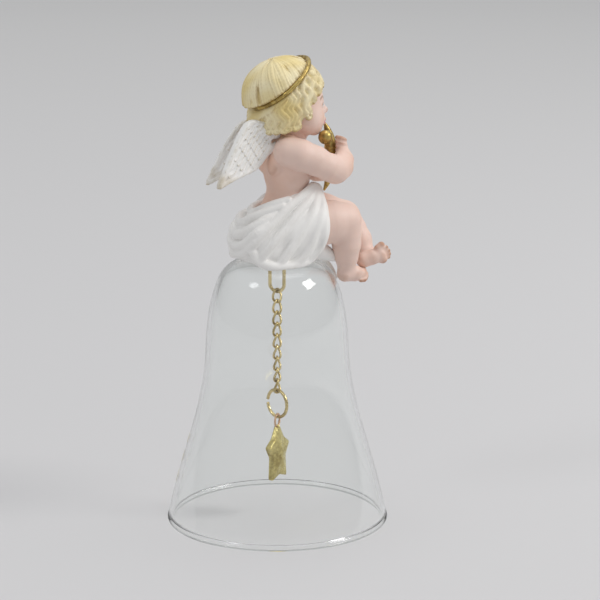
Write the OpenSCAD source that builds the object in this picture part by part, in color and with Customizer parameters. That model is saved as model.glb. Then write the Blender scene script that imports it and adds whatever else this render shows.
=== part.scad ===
// Clear glass table bell with a seated cherub on its crown and a brass star for a clapper.
// Millimetres. Origin on the bell's axis, in the plane that the rim rests on.
// +Z up, +X the way the cherub faces, +Y to the cherub's left.

/* [Glass bell] */
// Outer radius of the mouth
mouth_r = 38; // [37:0.25:38.5]
// Height of the outside of the crown
crown_z = 92.6; // [92:0.1:93]
// Thickness of the blown wall
wall = 1.6; // [1.2:0.1:1.8]
// Radius of the fire-polished bead along the rim
bead_r = 1.15; // [1:0.05:1.2]
// Radius of the hole through the crown
crown_hole_r = 4.2; // [4.15:0.05:4.5]

/* [Hanger] */
// Radius of the resin stem that fills the crown hole
stem_r = 4; // [3.8:0.05:4.1]
// Diameter of the staple's brass wire
staple_wire = 1.2; // [1:0.1:1.3]
// Width of the staple over its legs
staple_w = 6.7; // [6.2:0.1:7]
// Height of the wire's centre at the bottom of the staple
staple_z = 79.6; // [79:0.1:80]

/* [Chain] */
// Number of twisted links
link_count = 9; // [7:1:9]
// Diameter of the links' wire
link_wire = 0.8; // [0.7:0.05:0.85]
// Length of one link between the wire's centres
link_l = 4.79; // [4.7:0.01:4.9]
// Width of one link over the wire
link_w = 3.6; // [3.4:0.05:3.8]
// Twist of a link from its middle to either end, degrees
link_twist = 45; // [35:1:50]
// Turn of each link from the one above, degrees
link_turn = 6; // [4:0.1:8]
// Fullness of a link's rounded ends
link_end = 0.25; // [0.2:0.01:0.3]
// Slack between wires that hang on each other
slack = 0.05; // [0.03:0.01:0.1]

/* [Jump ring] */
// Outer diameter of the jump ring
jump_d = 10.7; // [10:0.1:11]
// Diameter of its wire
jump_wire = 1.1; // [0.9:0.1:1.2]
// Width of the gap at its split
jump_gap = 0.85; // [0.3:0.05:1]

/* [Star clapper] */
// Radius over the star's points
star_r = 10.6; // [10:0.1:11]
// Thickness at the star's centre
star_t = 4.4; // [4:0.1:4.8]
// Thickness along the star's outline
star_edge = 2; // [1.6:0.1:2.4]
// Diameter of the eye's wire
eye_wire = 0.7; // [0.6:0.05:0.8]
// Radius of the eye, to the wire's centre
eye_r = 2.2; // [2:0.1:2.3]

/* [Figure] */
// Radius of the hair's outer surface
hair_r = 12.9; // [12.5:0.1:13]
// Diameter of the hair band's wire
band_wire = 1.5; // [1.3:0.1:1.6]
// Radius of the hair band, to the wire's centre
band_r = 12.2; // [11.8:0.1:12.6]
// Thickness of the crescent
moon_t = 2.4; // [2:0.1:3]
// Radius of the round knob at the crescent's side
knob_r = 2.4; // [2:0.1:2.6]

/* [Hidden] */
PLAIN_NODES = [
    "glass_bell", "glue_bed", "mounting_stem", "hanger_staple",
    "jump_ring", "star_eye", "star_clapper",
    "cherub_torso", "cherub_head", "cherub_hair", "hair_band",
    "right_arm", "left_arm", "right_leg", "left_leg", "right_wing", "left_wing",
    "drape", "crescent_moon", "moon_knob"
];
$fn = 64;

skin = [0.93, 0.78, 0.72];
brass = [0.80, 0.66, 0.36];
white = [0.95, 0.95, 0.93];

// Where the flare, the neck and the shoulder of the bell's outline meet
neck_r = 24.5;
neck_z = 57.9;
shoulder_r = 19.6;
shoulder_z = 85;
bead_z = 1;
flare_steps = 18;
neck_steps = 8;
shoulder_steps = 12;

// The cherub's flat seat above the crown, and the bed of glue under it
seat_z = crown_z + 0.6;
bed_r = 11;
stem_foot_z = 88.4;
stem_top_z = 98;

// Heading of each hanging piece's wide side, degrees from +X
staple_heading = -50;
first_link_heading = 0;
jump_heading = -67;
eye_heading = 50;
star_heading = 38;

staple_leg = (staple_w - staple_wire) / 2;
staple_top_z = stem_top_z - 1.5;
link_pitch = link_l - link_wire - slack;
first_link_z = staple_z + staple_wire / 2 + link_wire / 2 + slack;
last_link_foot_z = first_link_z - (link_count - 1) * link_pitch - link_l;
jump_r = (jump_d - jump_wire) / 2;
jump_z = last_link_foot_z + (link_wire + jump_wire) / 2 + slack - jump_r;
eye_z = jump_z - jump_r + (jump_wire + eye_wire) / 2 + slack - eye_r;
eye_root = 0.8;
star_z = eye_z - eye_r + eye_root - star_r;

hair_centre = [3, 0, 146.3];
hairline = [15.2, 0, 149];
face_lean = 28;
band_centre = [1, 0, 150.4];
band_normal = [-0.653, -0.05, 0.756];

function unit(v) = v / norm(v);

function bezier(p, t) =
    pow(1 - t, 3) * p[0] + 3 * pow(1 - t, 2) * t * p[1] + 3 * (1 - t) * t * t * p[2] + pow(t, 3) * p[3];

function bezier_run(p, n) = [for (i = [0:n - 1]) bezier(p, i / n)];

// The outside of the glass, from the rim up to the axis
flare = [[mouth_r - 0.1, 1.1], [32.6, 25], [neck_r + 1, 40.2], [neck_r, neck_z]];
neck = [[neck_r, neck_z], [neck_r - 0.5, neck_z + 9], [shoulder_r + 4, shoulder_z - 8.5], [shoulder_r, shoulder_z]];
dome = [[shoulder_r, shoulder_z], [shoulder_r - 3.1, shoulder_z + 6.5], [9, crown_z], [0, crown_z]];
outer_line = concat(
    bezier_run(flare, flare_steps), bezier_run(neck, neck_steps), bezier_run(dome, shoulder_steps), [[0, crown_z]]
);

// The same line moved square to itself by d, towards the inside where d is positive
function moved_line(line, d) = [
    for (i = [0:len(line) - 1])
        let (along = unit(line[min(i + 1, len(line) - 1)] - line[max(i - 1, 0)]))
        i == len(line) - 1 ? [0, line[i][1] - d] : line[i] + d * [-along[1], along[0]]
];

function reversed(list) = [for (i = [len(list) - 1:-1:0]) list[i]];

// A Catmull-Rom curve through points of any dimension, n steps to a stretch
function pick(p, i) = p[max(0, min(len(p) - 1, i))];

function spline(p, i, t) =
    let (a = pick(p, i - 1), b = pick(p, i), c = pick(p, i + 1), d = pick(p, i + 2))
    (2 * b + (c - a) * t + (2 * a - 5 * b + 4 * c - d) * t * t + (3 * b - a - 3 * c + d) * t * t * t) / 2;

function smooth_run(p, n) = concat(
    [for (i = [0:len(p) - 2]) for (k = [0:n - 1]) spline(p, i, k / n)], [p[len(p) - 1]]
);

function ring(centre, dir, ref, r, sides) =
    let (u = unit(cross(dir, ref)), v = cross(u, unit(dir)))
    [for (k = [0:sides - 1]) centre + r * (cos(360 * k / sides) * u + sin(360 * k / sides) * v)];

function band_faces(rings, sides, closed) = [
    for (i = [0:rings - (closed ? 1 : 2)]) for (k = [0:sides - 1])
        let (j = (i + 1) % rings, m = (k + 1) % sides)
        [i * sides + k, i * sides + m, j * sides + m, j * sides + k]
];

// A limb: a round section swept through [x, y, z, radius] points, closed by its end rings
module limb(points, ref, sides = 14, steps = 4) {
    run = smooth_run(points, steps);
    n = len(run);
    at = [for (q = run) [q[0], q[1], q[2]]];
    body = [
        for (i = [0:n - 1])
            each ring(at[i], at[min(i + 1, n - 1)] - at[max(i - 1, 0)], ref, run[i][3], sides)
    ];
    caps = [[for (k = [sides - 1:-1:0]) k], [for (k = [0:sides - 1]) (n - 1) * sides + k]];
    polyhedron(body, concat(band_faces(n, sides, false), caps), convexity = 4);
}

module ball(p, r) {
    translate(p) sphere(r = r, $fn = 20);
}

module glass_bell() {
    color([0.85, 0.93, 0.90, 0.35])
    difference() {
        rotate_extrude() {
            polygon(concat(outer_line, reversed(moved_line(outer_line, wall))));
            intersection() {
                translate([mouth_r - bead_r, bead_z]) circle(r = bead_r);
                translate([mouth_r - 2 * bead_r, 0]) square(2 * bead_r);
            }
        }
        translate([0, 0, crown_z - 2 * wall]) cylinder(r = crown_hole_r, h = 3 * wall);
    }
}

module glue_bed() {
    under = [for (p = outer_line) if (p[0] < bed_r && p[0] > crown_hole_r && p[1] > shoulder_z) p];
    color([0.90, 0.88, 0.80])
    rotate_extrude()
        polygon(concat(under, [[crown_hole_r, crown_z], [crown_hole_r, seat_z], [under[0][0], seat_z]]));
}

module stem_blank() {
    translate([0, 0, stem_foot_z]) cylinder(r = stem_r, h = stem_top_z - stem_foot_z);
}

module mounting_stem() {
    color(white)
    difference() {
        stem_blank();
        rotate([0, 0, staple_heading])
            for (side = [-1, 1])
                translate([side * staple_leg, 0, stem_foot_z - 1])
                    cylinder(d = staple_wire, h = staple_top_z - stem_foot_z + 1);
    }
}

module hanger_staple() {
    bend_z = staple_z + staple_leg;
    color(brass)
    rotate([0, 0, staple_heading]) {
        translate([0, 0, bend_z]) rotate([90, 0, 0]) rotate([0, 0, 180])
            rotate_extrude(angle = 180) translate([staple_leg, 0]) circle(d = staple_wire);
        for (side = [-1, 1])
            translate([side * staple_leg, 0, bend_z]) cylinder(d = staple_wire, h = staple_top_z - bend_z);
    }
}

// One curb link: a long oval of wire whose ends are turned against each other
function link_point(t) =
    let (z = cos(t), w = (link_w - link_wire) / 2 * sin(t) * (1 + link_end * z * z), turn = link_twist * z)
    [w * cos(turn), w * sin(turn), link_l / 2 * z];

module chain_link(i) {
    rings = 28;
    sides = 8;
    at = [for (k = [0:rings - 1]) link_point(360 * k / rings)];
    body = [
        for (k = [0:rings - 1])
            let (turn = link_twist * cos(360 * k / rings))
            each ring(
                at[k], at[(k + 1) % rings] - at[(k + rings - 1) % rings], [-sin(turn), cos(turn), 0],
                link_wire / 2, sides
            )
    ];
    color(brass)
    translate([0, 0, first_link_z - (i - 1) * link_pitch - link_l / 2])
        rotate([0, 0, first_link_heading + (i - 1) * link_turn])
            polyhedron(body, band_faces(rings, sides, true), convexity = 6);
}

module jump_ring() {
    split = jump_gap / jump_r * 180 / PI;
    color(brass)
    translate([0, 0, jump_z]) rotate([0, 0, jump_heading]) rotate([90, 0, 0])
        rotate([0, 0, 180 + split / 2])
            rotate_extrude(angle = 360 - split) translate([jump_r, 0]) circle(d = jump_wire);
}

module star_eye() {
    color([0.72, 0.45, 0.30])
    translate([0, 0, eye_z]) rotate([0, 0, eye_heading]) rotate([90, 0, 0])
        rotate_extrude() translate([eye_r, 0]) circle(d = eye_wire);
}

// Five thick, stubby points, the side ones drawn in, with a ridge down each and a valley between them
module star_clapper() {
    left_half = [[-2.7, 5.9], [-6.3, 3.3], [-3.9, -0.9], [-4.4, -8.6]];
    right_half = [for (k = [3:-1:0]) [-left_half[k][0], left_half[k][1]]];
    outline = concat([[0, star_r]], left_half, [[0, -7.2]], right_half);
    front = [for (p = outline) [p[0], -star_edge / 2, p[1]]];
    back = [for (p = outline) [p[0], star_edge / 2, p[1]]];
    peaks = [[0, -star_t / 2, 0], [0, star_t / 2, 0]];
    faces = [
        for (k = [0:9])
            let (m = (k + 1) % 10)
            each [[20, m, k], [21, 10 + k, 10 + m], [k, m, 10 + m, 10 + k]]
    ];
    color(brass)
    translate([0, 0, star_z]) rotate([0, 0, star_heading])
        polyhedron(concat(front, back, peaks), faces, convexity = 6);
}

module cherub_torso() {
    spine = [
        [1.1, 0, seat_z, 8], [1.1, 0, seat_z + 1, 9.6], [1.1, 0, 102.4, 11], [1.8, 0, 109.5, 10.2],
        [2.8, 0, 117, 8.6], [3.4, 0, 124, 9], [4.6, 0, 128.6, 7], [6.4, 0, 132, 4.9], [7.6, 0, 135, 4.6]
    ];
    color(skin) limb(spine, [0, 1, 0], 20, 3);
}

module cherub_head() {
    color(skin) {
        translate([4, 0, 145.3]) sphere(r = 11.2);
        translate([9, 0, 139]) sphere(r = 7.6);
    }
}

module cherub_hair() {
    color([0.94, 0.86, 0.62])
    difference() {
        translate(hair_centre) sphere(r = hair_r);
        translate(hairline) rotate([0, face_lean, 0]) translate([0, -20, -20]) cube(40);
        cherub_head();
    }
}

module hair_band() {
    lean = acos(band_normal[2] / norm(band_normal));
    heading = atan2(band_normal[1], band_normal[0]);
    color(brass)
    translate(band_centre) rotate([0, lean, heading])
        rotate_extrude() translate([band_r, 0]) circle(d = band_wire);
}

module right_arm() {
    color(skin)
    limb([
        [-0.5, -7, 130, 2], [0.4, -9.4, 129, 4.9], [5.5, -11.6, 126.4, 4.9], [12, -11.6, 123.4, 4.3],
        [17.8, -9.8, 121.4, 4], [20.6, -7.2, 122.4, 3.7], [21.6, -4.8, 126, 3], [21, -3.2, 129, 2.6],
        [20.2, -2.6, 131.2, 1.2]
    ], [0.2, 0.3, 1]);
}

module left_arm() {
    color(skin)
    limb([
        [-0.5, 7, 130, 2], [0.4, 9.4, 129, 4.9], [5.5, 11.6, 126.4, 4.9], [12, 11.6, 122.6, 4.3],
        [17.4, 9.8, 119.4, 4], [20, 7.4, 119.6, 3.7], [20.6, 5.2, 122, 3], [20.2, 3.6, 124.6, 2.6],
        [19.6, 2.8, 126.6, 1.2]
    ], [0.2, -0.3, 1]);
}

module right_leg() {
    color(skin)
    limb([
        [7.6, -6, 101.6, 5.6], [9, -6.6, 102, 6.8], [13, -7.4, 103, 6.9], [19.4, -8, 104.6, 6.1], [23.2, -7.8, 102.6, 5.2],
        [24.2, -7, 97, 4.8], [24.6, -6, 91.5, 3.7], [25.6, -5.4, 87.2, 3.4], [28.6, -4.8, 84.8, 2.7],
        [31.4, -4.4, 84.2, 1.4]
    ], [0.1, 1, 0.1]);
}

module left_leg() {
    color(skin)
    limb([
        [7.6, 6, 101.6, 5.6], [9, 6.6, 102, 6.8], [14, 7.4, 103.2, 6.8], [22, 7.2, 104.4, 5.9], [27, 6.4, 102, 4.9],
        [30.6, 4.6, 97, 4.4], [33, 1.6, 91.8, 3.4], [33.8, -1.4, 88.6, 3.1], [35.8, -3.4, 89, 2.6],
        [38, -5, 90.2, 1.3]
    ], [0.1, 1, 0.1]);
}

// A wing's solid: a rounded slab from the shoulder blade out to the tip
module wing(side, points) {
    color(white)
    hull()
        for (p = points) ball([p[0], side * p[1], p[2]], p[3]);
}

module right_wing() {
    wing(-1, [
        [-5, 4.8, 136, 1.9], [-5, 4.2, 126.4, 1.8], [-11, 7, 137.2, 1.3], [-16, 8.6, 131.6, 1.2],
        [-9.8, 5.8, 121.8, 1.2], [-17.2, 8, 119.4, 1.1], [-23, 7.6, 118.8, 0.9]
    ]);
}

module left_wing() {
    wing(1, [
        [-5, 4.8, 136, 1.9], [-5, 4.2, 126.4, 1.8], [-9.4, 6.6, 137, 1.3], [-14.6, 7.6, 131, 1.2],
        [-9.8, 5.8, 121.8, 1.2], [-16.4, 7, 119.4, 1.1], [-21.6, 6.4, 118.4, 0.9]
    ]);
}

// The room that the cloth leaves for the body, a little inside the body's own surface
module hips_and_thighs() {
    hull() {
        ball([1.1, 0, 102], 10.2);
        ball([2.4, 0, 113], 8.4);
    }
    for (side = [-1, 1])
        hull() {
            ball([8, side * 6.2, 102], 5.8);
            ball([16, side * 7.6, 103.6], 6);
        }
}

// The cloth round the hips, lying on the crown: each lobe joins two rounded ends
module drape() {
    lobes = [
        [[-3, 0, 100, 8.6], [6, 0, 99.4, 8]],
        [[11.8, -5.4, 114, 2.6], [7, -10.6, 96.4, 4.4]],
        [[9.4, -8.6, 112, 2.8], [12.6, -9.6, 103, 3]],
        [[6, -9, 110, 3.2], [-2.6, -11.4, 94.6, 4.6]],
        [[-1, -9, 106.6, 3.4], [-9, -9, 96.6, 4.6]],
        [[-5.4, -5.6, 106.8, 4], [-12, -4.6, 97.6, 5.4]],
        [[-6.4, 0, 106.4, 4], [-12.4, 1, 97.6, 5]],
        [[-5.4, 5.6, 106.4, 4], [-10, 7.4, 97, 5]],
        [[0, 9, 106, 3.2], [-1, 11.4, 95.6, 4.4]],
        [[4.6, 9, 108, 3], [3.6, 12, 96, 4.4]],
        [[9.6, 8, 109.4, 3], [8.6, 10.8, 97, 4]],
        [[8.6, 10.4, 96.6, 4], [14.6, -2, 94.6, 3.6]],
        [[7, -10.6, 96.4, 4.4], [14.6, -2, 94.6, 3.6]],
        [[15.4, -2.4, 94.6, 2.6], [20.4, -2.8, 90.4, 1.3]],
        [[19.6, -1, 90.4, 1.6], [23.4, -1, 82.6, 1.3]]
    ];
    color(white)
    difference() {
        for (lobe = lobes)
            hull()
                for (p = lobe) ball([p[0], p[1], p[2]], p[3]);
        rotate_extrude($fn = 96) polygon(concat(moved_line(outer_line, -0.1), [[0, 0]]));
        cylinder(r = bed_r, h = seat_z);
        stem_blank();
        hips_and_thighs();
    }
}

// A tall crescent held upright, its horns towards the cherub
module crescent_moon() {
    tip_gap = 23;
    bulge = 4.2;
    hollow = 1.9;
    outer_r = (pow(tip_gap / 2, 2) + pow(bulge, 2)) / (2 * bulge);
    hollow_r = (pow(tip_gap / 2, 2) + pow(hollow, 2)) / (2 * hollow);
    color(brass)
    translate([17.4, moon_t / 2, 125.2]) rotate([90, -1.5, 0]) linear_extrude(moon_t)
        difference() {
            translate([bulge - outer_r, 0]) circle(r = outer_r, $fn = 96);
            translate([hollow - hollow_r, 0]) circle(r = hollow_r, $fn = 96);
        }
}

module moon_knob() {
    color(brass) translate([16.4, -2.6, 131.8]) sphere(r = knob_r);
}

glass_bell();
glue_bed();
mounting_stem();
hanger_staple();
jump_ring();
star_eye();
star_clapper();
cherub_torso();
cherub_head();
cherub_hair();
hair_band();
right_arm();
left_arm();
right_leg();
left_leg();
right_wing();
left_wing();
drape();
crescent_moon();
moon_knob();
for (i = [1:link_count])
    chain_link(i);
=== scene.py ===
import math
import random
import bmesh
import bpy
import numpy as np
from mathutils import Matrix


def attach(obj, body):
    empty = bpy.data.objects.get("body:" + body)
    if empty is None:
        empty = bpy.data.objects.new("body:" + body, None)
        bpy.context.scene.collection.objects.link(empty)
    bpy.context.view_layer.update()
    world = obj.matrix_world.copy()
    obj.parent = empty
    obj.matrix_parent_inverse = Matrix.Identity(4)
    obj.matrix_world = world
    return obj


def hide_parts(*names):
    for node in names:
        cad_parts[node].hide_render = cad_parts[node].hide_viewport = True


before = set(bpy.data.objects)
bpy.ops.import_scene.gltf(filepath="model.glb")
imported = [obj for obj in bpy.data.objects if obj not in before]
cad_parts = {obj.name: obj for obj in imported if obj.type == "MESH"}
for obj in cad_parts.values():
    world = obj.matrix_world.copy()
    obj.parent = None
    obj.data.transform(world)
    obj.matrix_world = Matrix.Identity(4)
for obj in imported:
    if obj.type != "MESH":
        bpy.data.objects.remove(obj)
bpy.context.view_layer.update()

import openvdb
from mathutils import Vector

# ---------------------------------------------------------------- the viewpoint
# Someone at a table looks slightly down on the bell, from behind the cherub's right shoulder,
# with a long lens that keeps the mouth and the crown in proportion.
MM = 0.001
viewer_azimuth = math.radians(-20)
viewer_pitch = math.radians(12.23)
viewer_distance = 700 * MM
aim_height = 76.667 * MM
bell_left_of_centre = 7.8 * MM
to_right = Vector((math.cos(viewer_azimuth), math.sin(viewer_azimuth), 0))
level = Vector((-math.sin(viewer_azimuth), math.cos(viewer_azimuth), 0))
looking = level * math.cos(viewer_pitch) - Vector((0, 0, math.sin(viewer_pitch)))
viewpoint = Vector((0, 0, aim_height)) - looking * viewer_distance + to_right * bell_left_of_centre
lens = bpy.data.cameras.new("viewer")
lens.lens = 123.9
lens.sensor_width = 36
lens.clip_start = 0.05
lens.clip_end = 50
viewer = bpy.data.objects.new("viewer", lens)
viewer.location = viewpoint
viewer.rotation_euler = looking.to_track_quat("-Z", "Y").to_euler()
bpy.context.collection.objects.link(viewer)
bpy.context.scene.camera = viewer

# ---------------------------------------------------------------- table and studio light
# A seamless sheet of pale grey paper, matt, lying under the bell and running on past it.
# Two soft boxes stand in front, left and right, and a broad one hangs overhead.


class Link:
    """A shader socket that can stand in a sum, so that a finish reads like arithmetic."""

    def __init__(self, finish, socket):
        self.finish = finish
        self.socket = socket

    def maths(self, operation, other):
        return self.finish.node("ShaderNodeMath", {"operation": operation}, {0: self, 1: other})

    def reflected(self, operation, first):
        return self.finish.node("ShaderNodeMath", {"operation": operation}, {0: first, 1: self})

    def __add__(self, other):
        return self.maths("ADD", other)

    def __radd__(self, other):
        return self.reflected("ADD", other)

    def __sub__(self, other):
        return self.maths("SUBTRACT", other)

    def __rsub__(self, other):
        return self.reflected("SUBTRACT", other)

    def __mul__(self, other):
        return self.maths("MULTIPLY", other)

    def __rmul__(self, other):
        return self.reflected("MULTIPLY", other)

    def between(self, low, high):
        """0 below low, 1 above high, and a soft step from one to the other."""
        sockets = {"Value": self, "From Min": low, "From Max": high}
        return self.finish.node("ShaderNodeMapRange", {"interpolation_type": "SMOOTHSTEP"}, sockets)


class Finish:
    """One material: a shader and the nodes that vary it over a surface."""

    def __init__(self, name, **shader):
        self.material = bpy.data.materials.new(name)
        self.material.use_nodes = True
        self.tree = self.material.node_tree
        self.shader = self.tree.nodes["Principled BSDF"]
        for socket, value in shader.items():
            self.set(socket.replace("_", " ").title().replace("Ior", "IOR"), value)

    def put(self, socket, value):
        if isinstance(value, Link):
            self.tree.links.new(value.socket, socket)
        elif socket.type == "RGBA" and len(value) == 3:
            socket.default_value = (*value, 1)
        else:
            socket.default_value = value

    def set(self, socket, value):
        self.put(self.shader.inputs[socket], value)

    def node(self, kind, settings=None, sockets=None, output=0):
        made = self.tree.nodes.new(kind)
        for key, value in (settings or {}).items():
            setattr(made, key, value)
        for key, value in (sockets or {}).items():
            self.put(made.inputs[key], value)
        return Link(self, made.outputs[output])

    def mix(self, share, first, second):
        return self.node("ShaderNodeMix", {"data_type": "RGBA"}, {0: share, 6: first, 7: second}, 2)

    def place(self):
        """The surface's own place in the frame, in metres."""
        return self.node("ShaderNodeTexCoord", output=3)

    def noise(self, scale, detail=3):
        sockets = {"Vector": self.place(), "Scale": scale, "Detail": detail}
        return self.node("ShaderNodeTexNoise", None, sockets)

    def stored(self, name):
        """A number kept on each point of the mesh."""
        return self.node("ShaderNodeAttribute", {"attribute_name": name}, output=2)

    def bump(self, height, distance, strength=1.0):
        sockets = {"Height": height, "Distance": distance, "Strength": strength}
        self.set("Normal", self.node("ShaderNodeBump", None, sockets))


def mesh_object(name, points, faces, smooth=True):
    mesh = bpy.data.meshes.new(name)
    mesh.from_pydata([tuple(p) for p in points], [], faces)
    mesh.polygons.foreach_set("use_smooth", [smooth] * len(mesh.polygons))
    made = bpy.data.objects.new(name, mesh)
    bpy.context.collection.objects.link(made)
    return made


paper_near = (0.59, 0.585, 0.59)
paper_far_painted_light = (0.71, 0.705, 0.70)
paper_radius = 7.0
paper_rings = 24
paper_spokes = 96
paper_drop = 0.1 * MM
paper_points = [
    (r * math.cos(a), r * math.sin(a), 0)
    for r in [paper_radius * (k / paper_rings) ** 2 for k in range(1, paper_rings + 1)]
    for a in [2 * math.pi * s / paper_spokes for s in range(paper_spokes)]
]
paper_faces = [
    (k * paper_spokes + s, (k + 1) * paper_spokes + s,
     (k + 1) * paper_spokes + (s + 1) % paper_spokes, k * paper_spokes + (s + 1) % paper_spokes)
    for k in range(paper_rings - 1) for s in range(paper_spokes)
] + [tuple(range(paper_spokes))]
paper = mesh_object("paper_sheet", paper_points, paper_faces)
paper.location.z = -paper_drop
paper_finish = Finish("pale_grey_paper", roughness=0.9)
from_bell = paper_finish.node("ShaderNodeVectorMath", {"operation": "LENGTH"}, {0: paper_finish.place()}, 1)
mottle = paper_finish.noise(1.3, 2) * 0.06 - 0.03
paper_reach = 2.2
# Painted light: the paper is coloured lighter away from the bell, standing in for the brighter light on the
# far paper.
paper_tone = paper_finish.mix((from_bell + mottle).between(0.0, paper_reach), paper_near, paper_far_painted_light)
paper_finish.set("Base Color", paper_tone)
paper_finish.bump(paper_finish.noise(900, 2), 0.00005, 0.3)
paper.data.materials.append(paper_finish.material)


def soft_box(name, azimuth, elevation, distance, size, power, shape="RECTANGLE", tint=(1, 1, 1)):
    """An area light aimed at the bell: degrees round and up, metres away and wide, and watts."""
    light = bpy.data.lights.new(name, "AREA")
    light.shape = shape
    light.size = size
    light.size_y = size
    light.energy = power
    light.color = tint
    box = bpy.data.objects.new(name, light)
    a = math.radians(azimuth)
    e = math.radians(elevation)
    away = Vector((math.sin(a) * math.cos(e), -math.cos(a) * math.cos(e), math.sin(e)))
    box.location = Vector((0, 0, 0.1)) + away * distance
    box.rotation_euler = (-away).to_track_quat("-Z", "Y").to_euler()
    bpy.context.collection.objects.link(box)
    return box


soft_box("right_soft_box", 58, 36, 1.6, 0.55, 10, tint=(1.0, 0.985, 0.965))
soft_box("left_soft_box", -75, 40, 1.7, 0.5, 2.4, "DISK", (0.97, 0.985, 1.0))
soft_box("overhead_soft_box", 120, 80, 1.9, 1.4, 8)
surroundings = bpy.data.worlds.new("studio")
surroundings.use_nodes = True
bpy.context.scene.world = surroundings
sky = surroundings.node_tree
height = sky.nodes.new("ShaderNodeSeparateXYZ")
sky.links.new(sky.nodes.new("ShaderNodeTexCoord").outputs["Generated"], height.inputs[0])
sky_ramp = sky.nodes.new("ShaderNodeValToRGB")
sky.links.new(height.outputs["Z"], sky_ramp.inputs[0])
sky_tones = [(0.0, (0.50, 0.50, 0.50)), (0.25, (0.62, 0.62, 0.62)), (0.7, (0.95, 0.96, 0.98))]
sky_ramp.color_ramp.elements.new(0.5)
for element, (place, tone) in zip(sky_ramp.color_ramp.elements, sky_tones):
    element.position = place
    element.color = (*tone, 1)
sky.links.new(sky_ramp.outputs[0], sky.nodes["Background"].inputs["Color"])
sky.nodes["Background"].inputs["Strength"].default_value = 0.70
bpy.context.scene.view_settings.view_transform = "Standard"

# ---------------------------------------------------------------- the bell
# One bubble of clear soda-lime glass, blown into a flared bell, its rim melted to a round bead.
# The wall wavers a little from the blowing; the crown has a hole for the figure's stem.


def bezier(p, t):
    p = [np.array(q, float) for q in p]
    t = np.asarray(t, float)[:, None]
    return (1 - t) ** 3 * p[0] + 3 * (1 - t) ** 2 * t * p[1] + 3 * (1 - t) * t ** 2 * p[2] + t ** 3 * p[3]


def turned(name, outline, spokes, waver=None):
    """A closed outline of (radius, height) points in millimetres, turned about the bell's axis."""
    points = []
    for s in range(spokes):
        a = 2 * math.pi * s / spokes
        for r, z in outline:
            grown = r + (waver(a, z) if waver else 0)
            points.append((grown * math.cos(a) * MM, grown * math.sin(a) * MM, z * MM))
    n = len(outline)
    faces = []
    for s in range(spokes):
        for k in range(n):
            corners = [(s, k), (s + 1, k), (s + 1, (k + 1) % n), (s, (k + 1) % n)]
            face = [j if outline[j][0] == 0 else i % spokes * n + j for i, j in corners]
            face = [v for i, v in enumerate(face) if v != face[i - 1]]
            if len(face) > 2:
                faces.append(face)
    made = mesh_object(name, points, faces)
    tidy = bmesh.new()
    tidy.from_mesh(made.data)
    bmesh.ops.delete(tidy, geom=[v for v in tidy.verts if not v.link_faces], context="VERTS")
    tidy.to_mesh(made.data)
    tidy.free()
    return made


wall = 1.6
mouth_r = 38.0
bead_r = 1.15
bead_z = 1.0
crown_z = 92.6
crown_hole_r = 4.2
flare = bezier([(mouth_r - 0.1, 1.1), (32.6, 25), (25.5, 40.2), (24.5, 57.9)], np.linspace(0, 1, 40)[:-1])
neck = bezier([(24.5, 57.9), (24.0, 66.9), (23.6, 76.5), (19.6, 85)], np.linspace(0, 1, 20)[:-1])
dome = bezier([(19.6, 85), (16.5, 91.5), (9, crown_z), (0, crown_z)], np.linspace(0, 1, 36))
outside = np.vstack([flare, neck, dome])
along = np.gradient(outside, axis=0)
along /= np.linalg.norm(along, axis=1)[:, None]
inside = outside + wall * np.column_stack([-along[:, 1], along[:, 0]])
outside = outside[(outside[:, 0] > crown_hole_r) & (outside[:, 1] > 2.1)]
inside = inside[(inside[:, 0] > crown_hole_r) & (inside[:, 1] > 2.3)]
land = math.degrees(math.asin(bead_z / bead_r))
bead_in = np.linspace(138, 180 + land, 12)
bead_out = np.linspace(360 - land, 420, 14)
bead = [
    (mouth_r - bead_r + bead_r * math.cos(a), bead_z + bead_r * math.sin(a))
    for a in np.radians([*bead_in, *bead_out])
]
outline = [*inside[::-1], *bead, *outside]


def blown(angle, z):
    """The small unevenness of a wall blown and finished by hand."""
    fade = min(1.0, max(0.0, (crown_z - z) / 30)) * min(1.0, z / 4)
    return fade * (0.05 * math.sin(3 * angle + z / 17) + 0.03 * math.sin(5 * angle - z / 9))


bell = turned("glass_bell_blown", outline, 320, blown)
glass_finish = Finish("clear_glass", roughness=0.0, ior=1.46, transmission_weight=1.0, specular_ior_level=0.5)
glass_finish.set("Base Color", (0.975, 0.988, 0.982))
ripple = glass_finish.noise(38, 2) + 0.4 * glass_finish.noise(120, 1)
glass_finish.bump(ripple, 0.00012, 0.25)
bell.data.materials.append(glass_finish.material)
bell.visible_shadow = False
bell.visible_diffuse = False
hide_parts("glass_bell")
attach(bell, "bell")

# ---------------------------------------------------------------- gold star print
# Three small stars screened on the outside of the glass in pale gold enamel and fired, one above
# the other near the mouth, each a film a few hundredths of a millimetre thick.
print_azimuth = math.radians(158)
flare_height = outside[:, 1]
flare_reach = outside[:, 0]


def printed_star(name, z, size):
    ring = []
    for k in range(10):
        r = size * (0.42 if k % 2 else 1.0)
        a = math.radians(90 + 36 * k)
        ring.append((r * math.cos(a), r * math.sin(a)))
    flat = [(0.0, 0.0)] + [(x * s, y * s) for s in (0.5, 1.0) for x, y in ring]
    points = []
    for lift in (0.01, 0.05):
        for x, y in flat:
            reach = float(np.interp(z + y, flare_height, flare_reach))
            angle = print_azimuth + x / reach
            out = reach + blown(angle, z + y) + lift
            points.append((out * math.cos(angle) * MM, out * math.sin(angle) * MM, (z + y) * MM))
    faces = []
    for k in range(10):
        n = (k + 1) % 10
        for base, turn in ((0, -1), (21, 1)):
            inner, outer = base + 1, base + 11
            faces.append((base, inner + k, inner + n)[::turn])
            faces.append((inner + k, outer + k, outer + n, inner + n)[::turn])
        faces.append((11 + k, 11 + n, 32 + n, 32 + k))
    return mesh_object(name, points, faces, False)


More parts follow.
